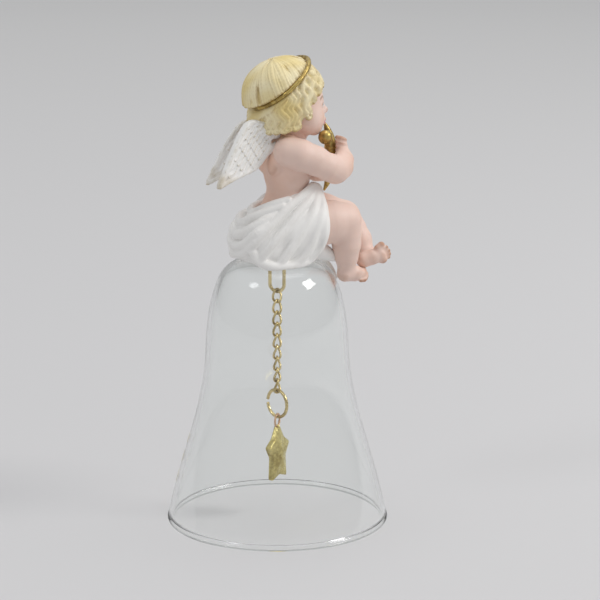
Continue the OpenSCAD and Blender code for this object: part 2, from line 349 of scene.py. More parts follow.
enamel = Finish("pale_gold_enamel", metallic=0.6, roughness=0.35)
speckle = enamel.noise(900, 2).between(0.4, 0.6)
enamel.set("Base Color", enamel.mix(speckle, (0.78, 0.68, 0.38), (0.64, 0.54, 0.28)))
for number, (print_z, print_size) in enumerate([(14.5, 2.4), (21.5, 2.1), (28.0, 1.8)], 1):
    star_print = printed_star(f"gold_star_print_{number}", print_z, print_size)
    star_print.data.materials.append(enamel.material)
    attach(star_print, "bell")

# ---------------------------------------------------------------- glue bed
# A bed of clear epoxy poured over the crown, which the figure is pressed down into. It fills the
# gap between the resin and the glass and has squeezed out to a rounded edge.
bed_outline = [
    (0.0, 92.75), (3.9, 92.75), (7.4, 92.5), (10.6, 91.55), (11.15, 91.75), (10.9, 92.35),
    (9.8, 93.0), (7.5, 93.25), (3.5, 93.25), (0.0, 93.25)
]
bed = turned("glue_bed_poured", bed_outline, 96)
glue = Finish("clear_epoxy", roughness=0.3, subsurface_weight=0.2)
glue.set("Subsurface Radius", (0.002, 0.002, 0.0015))
cloudy = glue.noise(500, 3).between(0.4, 0.65)
glue.set("Base Color", glue.mix(cloudy, (0.72, 0.68, 0.58), (0.60, 0.55, 0.44)))
glue.bump(glue.noise(700, 3), 0.0001, 0.5)
bed.data.materials.append(glue.material)
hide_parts("glue_bed")
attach(bed, "bell")

# ---------------------------------------------------------------- mounting stem
# A peg of white resin cast on the underside of the figure. It goes down through the hole in the
# crown, and the staple's two ends are set in it.
stem_outline = [
    (0.0, 88.4), (3.4, 88.42), (3.8, 88.6), (4.0, 89.0), (4.0, 97.4), (3.8, 97.9), (0.0, 98.0)
]
stem = turned("mounting_stem_cast", stem_outline, 64)
resin = Finish("white_stone_resin", roughness=0.5, specular_ior_level=0.35)
chalky = resin.noise(420, 3).between(0.4, 0.7)
resin.set("Base Color", resin.mix(chalky, (0.80, 0.79, 0.76), (0.66, 0.62, 0.55)))
resin.bump(resin.noise(900, 3), 0.00005, 0.4)
stem.data.materials.append(resin.material)
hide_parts("mounting_stem")
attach(stem, "bell")

# ---------------------------------------------------------------- hanger staple
# A hairpin of brass wire, its two ends set in the resin stem and its bend hanging in the bell
# to carry the first link of the chain.


def wire(name, line, radius, sides, closed):
    """Round wire along a line of points in millimetres, with rounded ends when it is open."""
    line = [Vector(p) for p in line]
    count = len(line)
    radii = [radius] * count
    if not closed:
        first = (line[0] - line[1]).normalized()
        last = (line[-1] - line[-2]).normalized()
        nose = [(0.0, 0.2), (-0.26, 0.7), (-0.63, 0.94)]
        line = (
            [line[0] + first * radius * back for back, _ in nose] + line[1:-1]
            + [line[-1] + last * radius * back for back, _ in reversed(nose)]
        )
        worn = [radius * share for _, share in nose]
        radii = worn + [radius] * (count - 2) + worn[::-1]
        count = len(line)
    across = None
    points = []
    for k, at in enumerate(line):
        if closed:
            along = (line[(k + 1) % count] - line[k - 1]).normalized()
        else:
            along = (line[min(k + 1, count - 1)] - line[max(k - 1, 0)]).normalized()
        if across is None:
            across = along.orthogonal().normalized()
        across = (across - along * across.dot(along)).normalized()
        other = along.cross(across)
        for s in range(sides):
            a = 2 * math.pi * s / sides
            points.append((at + (across * math.cos(a) + other * math.sin(a)) * radii[k]) * MM)
    rings = count if closed else count - 1
    shift = 0
    if closed:
        along = (line[1] - line[-1]).normalized()
        end = (line[0] + (across - along * across.dot(along)) * radius) * MM
        shift = min(range(sides), key=lambda s: (points[s] - end).length)
    faces = []
    for k in range(rings):
        slip = shift if closed and k == count - 1 else 0
        for s in range(sides):
            n = (s + 1) % sides
            low, high = k * sides, (k + 1) % count * sides
            faces.append((low + s, low + n, high + (n + slip) % sides, high + (s + slip) % sides))
    if not closed:
        faces.append(tuple(reversed(range(sides))))
        faces.append(tuple(range((count - 1) * sides, count * sides)))
    return mesh_object(name, points, faces)


def heading(angle, points, lift=0.0):
    """Points turned about the bell's upright axis and lifted."""
    c, s = math.cos(math.radians(angle)), math.sin(math.radians(angle))
    return [(c * x - s * y, s * x + c * y, z + lift) for x, y, z in points]


staple_bend_r = 2.75
staple_bend_z = 82.35
staple_leg = np.linspace(96.4, 83.0, 16)
staple_line = [(-staple_bend_r, 0, z) for z in staple_leg]
staple_line += [
    (-staple_bend_r * math.cos(a), 0, staple_bend_z - staple_bend_r * math.sin(a))
    for a in np.linspace(0, math.pi, 33)
]
staple_line += [(staple_bend_r, 0, z) for z in staple_leg[::-1]]
staple_wire_r = 0.6
staple_heading = -50
staple = wire("hanger_staple_wire", heading(staple_heading, staple_line), staple_wire_r, 20, False)
brass = Finish("drawn_brass", metallic=1.0, roughness=0.26)
tarnish = (brass.noise(330, 4) * 0.6 + brass.noise(70, 2) * 0.4).between(0.38, 0.68)
brass.set("Base Color", brass.mix(tarnish, (0.78, 0.64, 0.34), (0.42, 0.32, 0.13)))
brass.set("Roughness", tarnish * 0.2 + 0.2)
brass.bump(brass.noise(2600, 2), 0.00001, 0.5)
staple.data.materials.append(brass.material)
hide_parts("hanger_staple")
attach(staple, "bell")

# ---------------------------------------------------------------- chain
# Nine curb links of light brass wire, each bent closed and twisted so that its two ends are
# turned against each other, threaded through the last and into the next.
link_count = 9
link_steps = 56
link_half_length = 2.395
link_half_width = 1.4
link_pitch = 3.94
link_turn = 6
link_wire_r = 0.4
chain_top = 80.65
link_line = []
for k in range(link_steps):
    t = 2 * math.pi * k / link_steps
    half = link_half_width * math.sin(t) * (1 + 0.25 * math.cos(t) ** 2)
    twist = math.radians(45) * math.cos(t)
    link_line.append((half * math.cos(twist), half * math.sin(twist), link_half_length * math.cos(t)))
for number in range(1, link_count + 1):
    middle = chain_top - link_pitch * (number - 1) - link_half_length
    turned_line = heading(link_turn * (number - 1), link_line, middle)
    link = wire(f"chain_link_{number}_wire", turned_line, link_wire_r, 16, True)
    link.data.materials.append(brass.material)
    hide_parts(f"chain_link_{number}")
    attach(link, f"link_{number}")

# ---------------------------------------------------------------- jump ring
# A round of heavier brass wire, cut and sprung open so that the last link and the star's eye
# can be slipped on. The cut ends nearly meet at the side.
ring_r = 4.8
ring_wire_r = 0.55
ring_z = 40.54
ring_heading = -67
ring_half_gap = 0.85 / ring_r / 2
ring_line = [
    (ring_r * math.cos(a), 0, ring_r * math.sin(a))
    for a in np.linspace(math.pi + ring_half_gap, 3 * math.pi - ring_half_gap, 97)
]
jump_ring = wire("jump_ring_wire", heading(ring_heading, ring_line, ring_z), ring_wire_r, 20, False)
jump_ring.data.materials.append(brass.material)
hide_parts("jump_ring")
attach(jump_ring, "ring")

# ---------------------------------------------------------------- star eye
# A closed loop of thin copper wire, let into the top arm of the star when it was cast, so that
# the star hangs from the jump ring by it.
eye_r = 2.2
eye_wire_r = 0.35
eye_z = 34.49
eye_heading = 50
eye_line = [
    (eye_r * math.cos(a), 0, eye_r * math.sin(a)) for a in np.linspace(0, 2 * math.pi, 48, endpoint=False)
]
eye = wire("star_eye_wire", heading(eye_heading, eye_line, eye_z), eye_wire_r, 16, True)
copper = Finish("dull_copper", metallic=1.0, roughness=0.38)
browned = copper.noise(600, 3).between(0.35, 0.65)
copper.set("Base Color", copper.mix(browned, (0.74, 0.50, 0.34), (0.45, 0.28, 0.16)))
eye.data.materials.append(copper.material)
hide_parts("star_eye")
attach(eye, "clapper")

# ---------------------------------------------------------------- star clapper
# A thick cast brass star with five stubby ridged arms, tumbled until its edges are soft. It
# strikes the inside of the glass when the bell is swung.
left_half = [(-2.7, 5.9), (-6.3, 3.3), (-3.9, -0.9), (-4.4, -8.6)]
star_rim = [(0, 10.6), *left_half, (0, -7.2), *[(-x, z) for x, z in reversed(left_half)]]
star_half_edge = 1.0
star_half_middle = 2.2
star_z = 22.49
star_heading = 38
star_points = [(x, side * star_half_edge, z) for side in (-1, 1) for x, z in star_rim]
star_points += [(0, -star_half_middle, 0), (0, star_half_middle, 0)]
star_faces = []
for k in range(10):
    n = (k + 1) % 10
    star_faces += [(20, k, n), (21, 10 + n, 10 + k), (k, 10 + k, 10 + n, n)]
star_place = [Vector(p) * MM for p in heading(star_heading, star_points, star_z)]
star = mesh_object("star_clapper_cast", star_place, star_faces, False)
soften = star.modifiers.new("tumbled_edges", "BEVEL")
soften.width = 0.35 * MM
soften.segments = 3
soften.limit_method = "NONE"
star_brass = Finish("cast_brass", metallic=1.0, roughness=0.32)
worn = (star_brass.noise(240, 4) * 0.7 + star_brass.noise(900, 2) * 0.3).between(0.4, 0.64)
star_brass.set("Base Color", star_brass.mix(worn, (0.74, 0.64, 0.28), (0.36, 0.28, 0.09)))
star_brass.set("Roughness", worn * 0.25 + 0.24)
star_brass.bump(star_brass.noise(500, 4) + star_brass.noise(1800, 2) * 0.4, 0.00004, 0.6)
star.data.materials.append(star_brass.material)
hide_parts("star_clapper")
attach(star, "clapper")

# ---------------------------------------------------------------- the cherub's torso
# The torso of a seated putto, cold-cast in resin from a rubber mould, painted pale flesh, with
# warm painted shade darkening its hollows. The head and limbs are luted to it so that no seam shows.


def soft_union(a, b, k):
    h = np.clip(0.5 + 0.5 * (b - a) / k, 0, 1)
    return b + (a - b) * h - k * h * (1 - h)


def ball(centre, r):
    centre = np.array(centre, float)

    def depth(p):
        return np.sqrt(sum((p[i] - centre[i]) ** 2 for i in range(3))) - r
    return depth, centre - r, centre + r


def egg(centre, radii, lean=0.0, turn=0.0):
    """An ellipsoid, leaned about Y and then turned about Z, in degrees."""
    centre = np.array(centre, float)
    cl, sl = math.cos(math.radians(lean)), math.sin(math.radians(lean))
    ct, st = math.cos(math.radians(turn)), math.sin(math.radians(turn))

    def depth(p):
        x, y, z = (p[i] - centre[i] for i in range(3))
        x, y = ct * x + st * y, ct * y - st * x
        x, z = cl * x - sl * z, cl * z + sl * x
        near = np.sqrt((x / radii[0]) ** 2 + (y / radii[1]) ** 2 + (z / radii[2]) ** 2)
        steep = np.sqrt((x / radii[0] ** 2) ** 2 + (y / radii[1] ** 2) ** 2 + (z / radii[2] ** 2) ** 2)
        return near * (near - 1) / np.maximum(steep, 1e-6)
    reach = max(radii)
    return depth, centre - reach, centre + reach


def limb(points, k=0.0):
    """Tapered rounds from point to point, each point (x, y, z, radius)."""
    points = np.array(points, float)

    def depth(p):
        whole = None
        for start, end in zip(points, points[1:]):
            run = end[:3] - start[:3]
            to = [p[i] - start[i] for i in range(3)]
            t = np.clip(sum(to[i] * run[i] for i in range(3)) / (run @ run), 0, 1)
            off = np.sqrt(sum((to[i] - t * run[i]) ** 2 for i in range(3)))
            part = off - (start[3] + (end[3] - start[3]) * t)
            if whole is None:
                whole = part
            else:
                whole = soft_union(whole, part, k) if k else np.minimum(whole, part)
        return whole
    return depth, (points[:, :3] - points[:, 3:]).min(0), (points[:, :3] + points[:, 3:]).max(0)


def curve(points, parts=4):
    """A smooth run through the points, with their radii."""
    points = np.array(points, float)
    ends = np.vstack([2 * points[0] - points[1], points, 2 * points[-1] - points[-2]])
    run = []
    for a, b, c, d in zip(ends, ends[1:], ends[2:], ends[3:]):
        for t in np.arange(0, 1, 1 / parts):
            run.append(0.5 * (2 * b + (c - a) * t + (2 * a - 5 * b + 4 * c - d) * t ** 2
                              + (3 * b - a - 3 * c + d) * t ** 3))
    return np.array(run + [points[-1]])


class Clay:
    """A block of clay: how far each point of a grid lies outside the surface, in millimetres."""

    far = 4.0

    def __init__(self, low, high, step):
        self.low = np.array(low, float)
        self.step = step
        self.axes = [np.arange(a, b, step, dtype=np.float32) for a, b in zip(low, high)]
        self.depth = np.full([len(a) for a in self.axes], self.far, np.float32)

    def window(self, low, high):
        cut = [
            slice(max(0, int((a - l) / self.step)), max(0, int((b - l) / self.step) + 1))
            for a, b, l in zip(low, high, self.low)
        ]
        grid = np.meshgrid(*[axis[c] for axis, c in zip(self.axes, cut)], indexing="ij", sparse=True)
        return tuple(cut), grid

    def add(self, shape, k=0.5, cut_away=False):
        field, low, high = shape
        where, p = self.window(low - k - 1.2, high + k + 1.2)
        old = self.depth[where]
        if old.size == 0:
            return self
        new = field(p).astype(np.float32)
        self.depth[where] = -soft_union(-old, new, k) if cut_away else soft_union(old, new, k)
        return self

    def build(self, shapes):
        for kind, k, shape in shapes:
            self.add(shape, k, kind == "cut")
        return self.depth


def cast(name, low, step, depth):
    """The smooth skin of a clay block, as a mesh in metres."""
    grid = openvdb.FloatGrid(background=Clay.far)
    grid.copyFromArray(np.ascontiguousarray(np.pad(depth, 1, constant_values=Clay.far)))
    points, triangles, quads = grid.convertToPolygons(isovalue=0.0, adaptivity=0.0)
    points = (points.astype(np.float64) - 1) * step + np.array(low)
    mesh = bpy.data.meshes.new(name)
    corners = np.concatenate([triangles.ravel(), quads.ravel()]).astype(np.int32)
    sizes = np.concatenate([np.full(len(triangles), 3), np.full(len(quads), 4)])
    mesh.vertices.add(len(points))
    mesh.vertices.foreach_set("co", (points * MM).astype(np.float32).ravel())
    mesh.loops.add(len(corners))
    mesh.loops.foreach_set("vertex_index", corners)
    mesh.polygons.add(len(sizes))
    mesh.polygons.foreach_set("loop_start", np.concatenate([[0], np.cumsum(sizes)[:-1]]).astype(np.int32))
    mesh.update(calc_edges=True)
    mesh.polygons.foreach_set("use_smooth", [True] * len(sizes))
    mesh.flip_normals()
    made = bpy.data.objects.new(name, mesh)
    bpy.context.collection.objects.link(made)
    return made


def keep(obj, name, values):
    """Stores one number on each point, for the finish to read."""
    made = obj.data.attributes.new(name, "FLOAT", "POINT")
    made.data.foreach_set("value", np.asarray(values, np.float32))


def spots(obj):
    """The mesh's points in millimetres, as x, y and z."""
    co = np.empty(len(obj.data.vertices) * 3, np.float32)
    obj.data.vertices.foreach_get("co", co)
    return (co.reshape(-1, 3) / MM).T.astype(float)


def hollows(obj, rounds):
    """How far each point lies below its smoothed surroundings, in millimetres."""
    mesh = obj.data
    edges = np.empty(len(mesh.edges) * 2, np.int32)
    mesh.edges.foreach_get("vertices", edges)
    a, b = edges.reshape(-1, 2).T
    count = np.bincount(a, minlength=len(mesh.vertices)) + np.bincount(b, minlength=len(mesh.vertices))
    normals = np.empty(len(mesh.vertices) * 3, np.float32)
    mesh.vertices.foreach_get("normal", normals)
    start = spots(obj)
    now = start.copy()
    for _ in range(rounds):
        for axis in range(3):
            total = np.bincount(a, now[axis][b], len(count)) + np.bincount(b, now[axis][a], len(count))
            now[axis] = 0.5 * now[axis] + 0.5 * total / np.maximum(count, 1)
    return ((now - start) * normals.reshape(-1, 3).T).sum(0)


body_clay = {"cherub_torso": [
    ("add", 0.5, egg((1.4, 0, 101.6), (9.6, 11, 9))),
    ("add", 2.0, egg((-2.2, -4.8, 99.5), (7.5, 6.6, 7))),
    ("add", 2.0, egg((-2.2, 4.8, 99.5), (7.5, 6.6, 7))),
    ("add", 3.0, egg((4.4, 0, 108.6), (8.8, 9.8, 8.8))),
    ("add", 3.0, egg((3.6, 0, 120.6), (7.7, 9.6, 9.6), -4)),
    ("add", 2.5, limb([(2.2, -7.6, 128.4, 4.7), (2.4, 0, 129.6, 5.2), (2.2, 7.6, 128.4, 4.7)])),
    ("add", 1.6, limb([(4, 0, 129, 5), (6.6, 0, 135, 4.7)])),
    ("add", 1.4, egg((-2.4, -5.0, 124.6), (2.4, 3.4, 4.6), 12)),
    ("add", 1.4, egg((-2.4, 5.0, 124.6), (2.4, 3.4, 4.6), 12)),
    ("cut", 1.2, limb([(-5.6, 0, 127, 0.7), (-5.3, 0, 118, 0.9), (-6.0, 0, 110, 0.7)])),
]}
seam_overlap = 0.3
luting = 1.2


def cast_body_part(name, low, high, step):
    """One cast part, cut from the whole body half way to its neighbours, with a small overlap."""
    fields = {}
    for part, shapes in body_clay.items():
        if part == name or part == "cherub_torso" or name == "cherub_torso":
            fields[part] = Clay(low, high, step).build(shapes)
    own = fields.pop(name)
    others = np.minimum.reduce(list(fields.values()))
    whole = soft_union(own, others, luting)
    share = 0.5 * (own - others) - seam_overlap
    return cast(name + "_casting", low, step, np.maximum(whole, share))


skin_pale = (0.80, 0.60, 0.52)
# A ruddy colour for the random tone, the blushes and the painted shade on the torso's back.
skin_rosy = (0.72, 0.42, 0.29)
# A warm brown for the painted shade in the creases and hollows.
skin_crease_shade = (0.42, 0.19, 0.09)
lip_red = (0.62, 0.20, 0.19)
flesh = Finish("painted_flesh", roughness=0.48, subsurface_weight=0.08, specular_ior_level=0.35)
flesh.set("Subsurface Radius", (0.002, 0.001, 0.0007))
hollow_shade = flesh.stored("hollow_shade")
# Random ruddy tone, the painted blushes, and painted shade on the torso's back, all towards the ruddy colour.
ruddy_and_back_shade = flesh.noise(120, 3) * 0.5 + flesh.stored("blush_and_back_shade")
tone = flesh.mix(ruddy_and_back_shade.between(0.3, 1.0), skin_pale, skin_rosy)
# Painted shade: the creases and hollows are darkened towards the warm brown.
tone = flesh.mix((hollow_shade + (flesh.noise(600, 2) - 0.5) * 0.05).between(0.03, 0.32) * 0.85, tone, skin_crease_shade)
tone = flesh.mix(flesh.stored("lips"), tone, lip_red)
tone = flesh.mix(flesh.stored("eye_white"), tone, (0.74, 0.72, 0.70))
tone = flesh.mix(flesh.stored("iris"), tone, (0.10, 0.16, 0.24))
tone = flesh.mix(flesh.stored("brow") * 0.7, tone, (0.30, 0.17, 0.08))
tone = flesh.mix(flesh.stored("lash"), tone, (0.12, 0.07, 0.05))
flesh.set("Base Color", tone)
flesh.bump(flesh.noise(1500, 3) + flesh.noise(260, 2), 0.00003, 0.5)
blushes = [
    ((24, -9, 122), 5), ((24, 8, 119), 5), ((26, -8, 106), 5), ((32, 7, 104), 5), ((13, -6.4, 138.6), 3.2),
    ((13, 6.4, 138.6), 3.2), ((39, -5, 90), 4), ((31, -4, 84), 4), ((22, -1, 131), 3), ((22, 1, 125), 3)
]


def body_part(name, low, high, step, back_shade=0.0):
    """Casts and paints one part: painted shade in its hollows and back, and a blush on knees, elbows and
    cheeks.
    """
    casting = cast_body_part(name, low, high, step)
    x, y, z = spots(casting)
    keep(casting, "hollow_shade", hollows(casting, 30))
    # Painted shade: the back is made ruddier and darker by so much, beside the real blushes below.
    blush_and_back_shade = back_shade * np.clip((9 - x) / 16, 0, 1)
    for spot, reach in blushes:
        away = (x - spot[0]) ** 2 + (y - spot[1]) ** 2 + (z - spot[2]) ** 2
        blush_and_back_shade = blush_and_back_shade + 0.42 * np.exp(-away / reach ** 2)
    keep(casting, "blush_and_back_shade", blush_and_back_shade)
    casting.data.materials.append(flesh.material)
    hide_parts(name)
    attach(casting, "bell")
    return casting


# ---------------------------------------------------------------- the right arm
# The arm nearer the viewer, a plump baby's arm bent up so that the hand closes on the crescent
# from the right. Cast and painted with the torso.
def fingers(side, top):
    """Four fingers laid one under another, curled round the crescent from the outside."""
    made = []
    for number in range(4):
        size = 0.86 - 0.05 * abs(number - 1)
        z = top - 1.42 * number
        made.append(("add", 0.22, limb(curve([
            (23.0, 3.2 * side, z - 0.6, size + 0.1), (22.4, 4.4 * side, z - 0.2, size + 0.05),
            (21.2, 4.5 * side, z + 0.4, size), (20.2, 3.6 * side, z + 0.7, size - 0.12)], 3))))
    return made


body_clay["right_arm"] = [
    ("add", 0.5, limb([
        (1.2, -8.6, 128.4, 4.9), (4.6, -10.6, 127.4, 5.0), (9.5, -11.3, 125.4, 4.7),
        (14.2, -10.7, 123.0, 4.4), (17.4, -9.5, 121.7, 4.4), (19.7, -8.2, 122.3, 4.15)], 1.5)),
    ("add", 1.2, limb([(19.8, -8, 122.6, 4.0), (21.4, -6.4, 124.5, 3.3), (21.9, -5.0, 125.8, 2.5)], 1.2)),
    ("cut", 0.7, limb([(14.6, -11.2, 128.4, 0.5), (17.6, -7.4, 126.8, 0.6)])),
    ("add", 0.8, limb([(22.0, -4.4, 126.6, 2.1), (22.3, -3.1, 129.0, 1.7)], 0.6)),
]
body_clay["right_arm"] += fingers(-1, 131.0)
body_part("right_arm", (-5, -17, 115), (28, 2, 136), 0.24)

# ---------------------------------------------------------------- the left arm
# The other arm, cast and painted in the same way. Its hand holds the crescent from the left,
# just below the right hand.
body_clay["left_arm"] = [
    ("add", 0.5, limb([
        (1.2, 8.6, 128.4, 4.9), (4.6, 10.6, 127.2, 5.0), (9.5, 11.4, 124.6, 4.7),
        (14.4, 10.6, 121.6, 4.4), (17.8, 9.2, 119.8, 4.4), (20.2, 7.8, 119.8, 4.2)], 1.5)),
    ("add", 1.2, limb([(20.2, 7.8, 119.9, 4.1), (21.8, 6.0, 121.4, 3.5), (22.4, 4.4, 122.8, 2.8)], 1.2)),
    ("cut", 0.7, limb([(14.0, 11.0, 126.6, 0.5), (16.8, 7.4, 124.8, 0.6)])),
    ("add", 0.8, limb([(22.3, 4.0, 123.0, 2.2), (22.3, 2.9, 124.4, 1.8)], 0.6)),
]
body_clay["left_arm"] += fingers(1, 126.0)
body_part("left_arm", (-5, -2, 113), (28, 17, 135), 0.24)

# ---------------------------------------------------------------- the right leg
# Thigh, calf and foot of the leg that hangs down over the side of the bell, with five toes.
# Cast and painted with the torso, and clear of the glass.
body_clay["right_leg"] = [
    ("add", 0.5, limb([
        (6, -5.8, 102, 7.0), (11, -7.2, 103.2, 7.2), (16.4, -7.9, 104, 6.8), (20.8, -8.1, 104.2, 5.9)], 2.0)),
    ("add", 1.6, limb([
        (21.2, -8, 103.6, 5.4), (22.0, -7.7, 99.6, 4.9), (22.4, -7.1, 95.6, 4.7), (22.8, -6.2, 91.4, 3.8),
        (23.0, -5.6, 88.4, 3.2)], 1.2)),
    ("add", 1.0, limb([(22.6, -5.4, 85.3, 2.8), (26.2, -5.1, 85.1, 2.6), (28.6, -4.9, 84.6, 2.2)], 0.8)),
]
right_toes = [
    (29.9, -3.5, 85.5, 1.25), (30.5, -4.7, 84.6, 0.85), (30.3, -5.6, 83.9, 0.8),
    (29.8, -6.3, 83.3, 0.75), (29.1, -6.9, 82.9, 0.7)
]
for x, y, z, size in right_toes:
    body_clay["right_leg"].append(("add", 0.35, limb([(x - 1.4, y, z, size), (x, y, z, size)])))
body_part("right_leg", (-2, -16, 80), (34, 2, 113), 0.26)

# ---------------------------------------------------------------- the left leg
# The further leg, which crosses behind the right one so that its bare sole shows beside it.
# Cast and painted with the torso.
body_clay["left_leg"] = [
    ("add", 0.5, limb([
        (6, 5.8, 102, 7.0), (12, 7.0, 103.4, 7.0), (19, 7.6, 104.2, 6.6), (26.6, 7.2, 102.8, 5.6)], 2.0)),
    ("add", 1.6, limb([
        (27.2, 7, 102.2, 5.1), (29.4, 5.6, 98.4, 4.7), (31.2, 3.4, 94.8, 4.2), (32.2, 1.0, 91.6, 3.3)], 1.2)),
    ("add", 1.0, limb([(30.4, -2.8, 88.9, 2.6), (33.4, -3.6, 90.0, 2.5), (35.8, -4.2, 90.7, 2.2)], 0.8)),
    ("add", 0.8, limb([(35.4, -4.2, 92.4, 1.7), (36.6, -4.6, 89.4, 1.7)])),
]
left_toes = [
    (36.0, -4.8, 94.1, 1.25), (37.6, -5.0, 93.2, 0.88), (38.4, -5.1, 92.1, 0.82),
    (38.7, -5.1, 91.0, 0.78), (38.6, -5.0, 89.9, 0.72)
]
for number, (x, y, z, size) in enumerate(left_toes):
    back = (x - 1.2, y + 0.2, z - 1.0 + 0.35 * number, size)
    body_clay["left_leg"].append(("add", 0.35, limb([back, (x, y, z, size)])))
body_part("left_leg", (-2, -8, 84), (40, 16, 113), 0.26)

# ---------------------------------------------------------------- the head
# A child's round head with full cheeks, a small nose and a closed mouth, turned a little to its
# right. Cast with the body; the eyes, brows and lips are painted on with a fine brush.
head_x = 3.8
head_turn = math.radians(-4)
skull = [
    ("add", 0.5, egg((3.8, 0, 146.4), (11.4, 10.8, 11.4))),
    ("add", 3.0, egg((8.4, 0, 141.0), (7.8, 8.0, 8.2))),
    ("add", 2.5, ball((10.2, -4.8, 138.3), 4.5)),
    ("add", 2.5, ball((10.2, 4.8, 138.3), 4.5)),
    ("add", 1.6, ball((13.0, 0, 135.0), 2.7)),
    ("add", 1.4, egg((14.3, 0, 137.8), (2.6, 2.8, 2.3))),
    ("cut", 1.2, ball((16.7, -4.8, 143.2), 2.3)),
    ("cut", 1.2, ball((16.7, 4.8, 143.2), 2.3)),
    ("add", 0.6, egg((13.3, -4.5, 143.1), (1.8, 2.2, 1.5))),
    ("add", 0.6, egg((13.3, 4.5, 143.1), (1.8, 2.2, 1.5))),
    ("add", 0.9, limb([(14.8, 0, 143.6, 0.8), (15.7, 0, 142.0, 0.9), (16.7, 0, 140.9, 1.15)], 0.6)),
    ("add", 0.5, ball((15.8, -1.1, 140.4), 0.8)),
    ("add", 0.5, ball((15.8, 1.1, 140.4), 0.8)),
    ("add", 0.35, limb([
        (14.9, -2.3, 137.3, 0.35), (16.3, -0.8, 137.9, 0.62), (16.3, 0.8, 137.9, 0.62),
        (14.9, 2.3, 137.3, 0.35)], 0.3)),
    ("add", 0.35, limb([(15.0, -1.9, 136.8, 0.4), (16.2, 0, 136.5, 0.78), (15.0, 1.9, 136.8, 0.4)], 0.3)),
    ("cut", 0.15, limb([(15.2, -2.3, 137.15, 0.12), (17.2, 0, 137.25, 0.14), (15.2, 2.3, 137.15, 0.12)])),
]


def on_head(shapes):
    """The shapes turned with the head, about the upright through its middle."""
    c, s = math.cos(head_turn), math.sin(head_turn)
    moved = []
    for kind, k, (field, low, high) in shapes:
        def depth(p, field=field):
            x, y = p[0] - head_x, p[1]
            return field([head_x + c * x + s * y, c * y - s * x, p[2]])
        moved.append((kind, k, (depth, low - 2, high + 2)))
    return moved


body_clay["cherub_head"] = on_head(skull)
head = body_part("cherub_head", (-9, -13, 129), (20.5, 13, 160), 0.17)
x, y, z = spots(head)
mouth = ((x - 16.3) / 1.4) ** 2 + ((y + 0.8) / 2.3) ** 2 + ((z - 137.2) / 1.15) ** 2
keep(head, "lips", np.clip(1.6 * (1.2 - mouth), 0, 1))
in_front = math.cos(head_turn) * (x - head_x) + math.sin(head_turn) * y > 7
across = np.abs(math.cos(head_turn) * y - math.sin(head_turn) * (x - head_x))
eye_out = 4.7
lid = ((across - eye_out) / 1.6) ** 2 + ((z - 143.1) / 0.95) ** 2
iris = ((across - eye_out) / 0.8) ** 2 + ((z - 143.15) / 0.85) ** 2
arch = 145.8 - 0.16 * (across - 4.4) ** 2
keep(head, "eye_white", np.clip(5 * (1 - lid), 0, 1) * in_front)
keep(head, "iris", np.clip(4 * (1 - iris), 0, 1) * in_front)
keep(head, "lash", np.clip(1.4 - 5 * np.abs(lid - 1.05), 0, 1) * (z > 143.1) * in_front)
keep(head, "brow", np.clip(1.5 - 2.6 * np.abs(z - arch), 0, 1) * (np.abs(across - 4.4) < 2.2) * in_front)

# ---------------------------------------------------------------- the torso's casting
# The torso meets the head and every limb, and is cut half way to each of them, so it is cast
# last, when all their shapes are settled. Its back is painted ruddier than its front, as painted shade.
body_part("cherub_torso", (-12, -15, 92.8), (16, 15, 138), 0.3, back_shade=0.45)

# ---------------------------------------------------------------- hair
# A cap of hair cast with the head: combed ridges from a whorl at the back down to the band,
# and wavy locks below it that end in curls on the neck. Cream paint, with deep ochre painted shade in the
# crevices.
hair_step = 0.16
hair_low = (-13.2, -14.2, 131.6)
hair_high = (19.0, 14.2, 160.4)
hair_middle = np.array([2.8, 0, 146.8])
hair_base = np.array([12.7, 11.8, 11.5])
hair_drop = 19.0
hair_round = 12
band_centre = np.array([1.0, 0, 150.4])
band_axis = np.array([-0.653, -0.05, 0.756])
band_axis = band_axis / np.linalg.norm(band_axis)
band_radius = 12.2
face_edge = (
    [0, 25, 42, 56, 69, 77, 85, 98, 180],
    [149.0, 148.6, 147.6, 146.0, 142.2, 139.8, 137.4, 136.0, 135.2]
)
dice = random.Random(7)


def hair_edge(x, y):
    """The height of the hair's lower edge, all round the head."""
    return np.interp(np.degrees(np.arctan2(np.abs(y), x - 3.8)), *face_edge)


def cap(p):
    x, y, z = (p[i] - hair_middle[i] for i in range(3))
    tall = np.where(z > 0, hair_base[2], hair_drop)
    whole = (np.sqrt((x / hair_base[0]) ** 2 + (y / hair_base[1]) ** 2 + (z / tall) ** 2) - 1) * hair_round
    return np.maximum(whole, hair_edge(p[0], p[1]) - p[2])


def on_cap(point, lift=0.0):
    """The nearest place on the hair's surface, raised by so much."""
    away = point - hair_middle
    radii = np.array([hair_base[0], hair_base[1], hair_base[2] if away[2] > 0 else hair_drop])
    reach = np.linalg.norm(away / radii)
    normal = away / radii ** 2
    return hair_middle + away / reach + normal / np.linalg.norm(normal) * lift


def strand(clay, points, k):
    """Short rounds laid one after another, each point (x, y, z, radius)."""
    for start, end in zip(points, points[1:]):
        clay.add(limb([start, end]), k)


def without_slots(depth, reach, slack):
    """The clay with its narrow slots partly filled, as a rubber mould could not draw from them."""
    filled = np.clip(depth, -2, 2)
    for axis in range(3):
        margin = [(reach + 1, reach) if n == axis else (0, 0) for n in range(3)]
        total = np.cumsum(np.pad(filled, margin, "edge"), axis=axis, dtype=np.float32)
        count = filled.shape[axis]
        ahead = np.take(total, range(2 * reach + 1, 2 * reach + 1 + count), axis)
        filled = (ahead - np.take(total, range(count), axis)) / (2 * reach + 1)
    return np.minimum(depth, filled + slack)


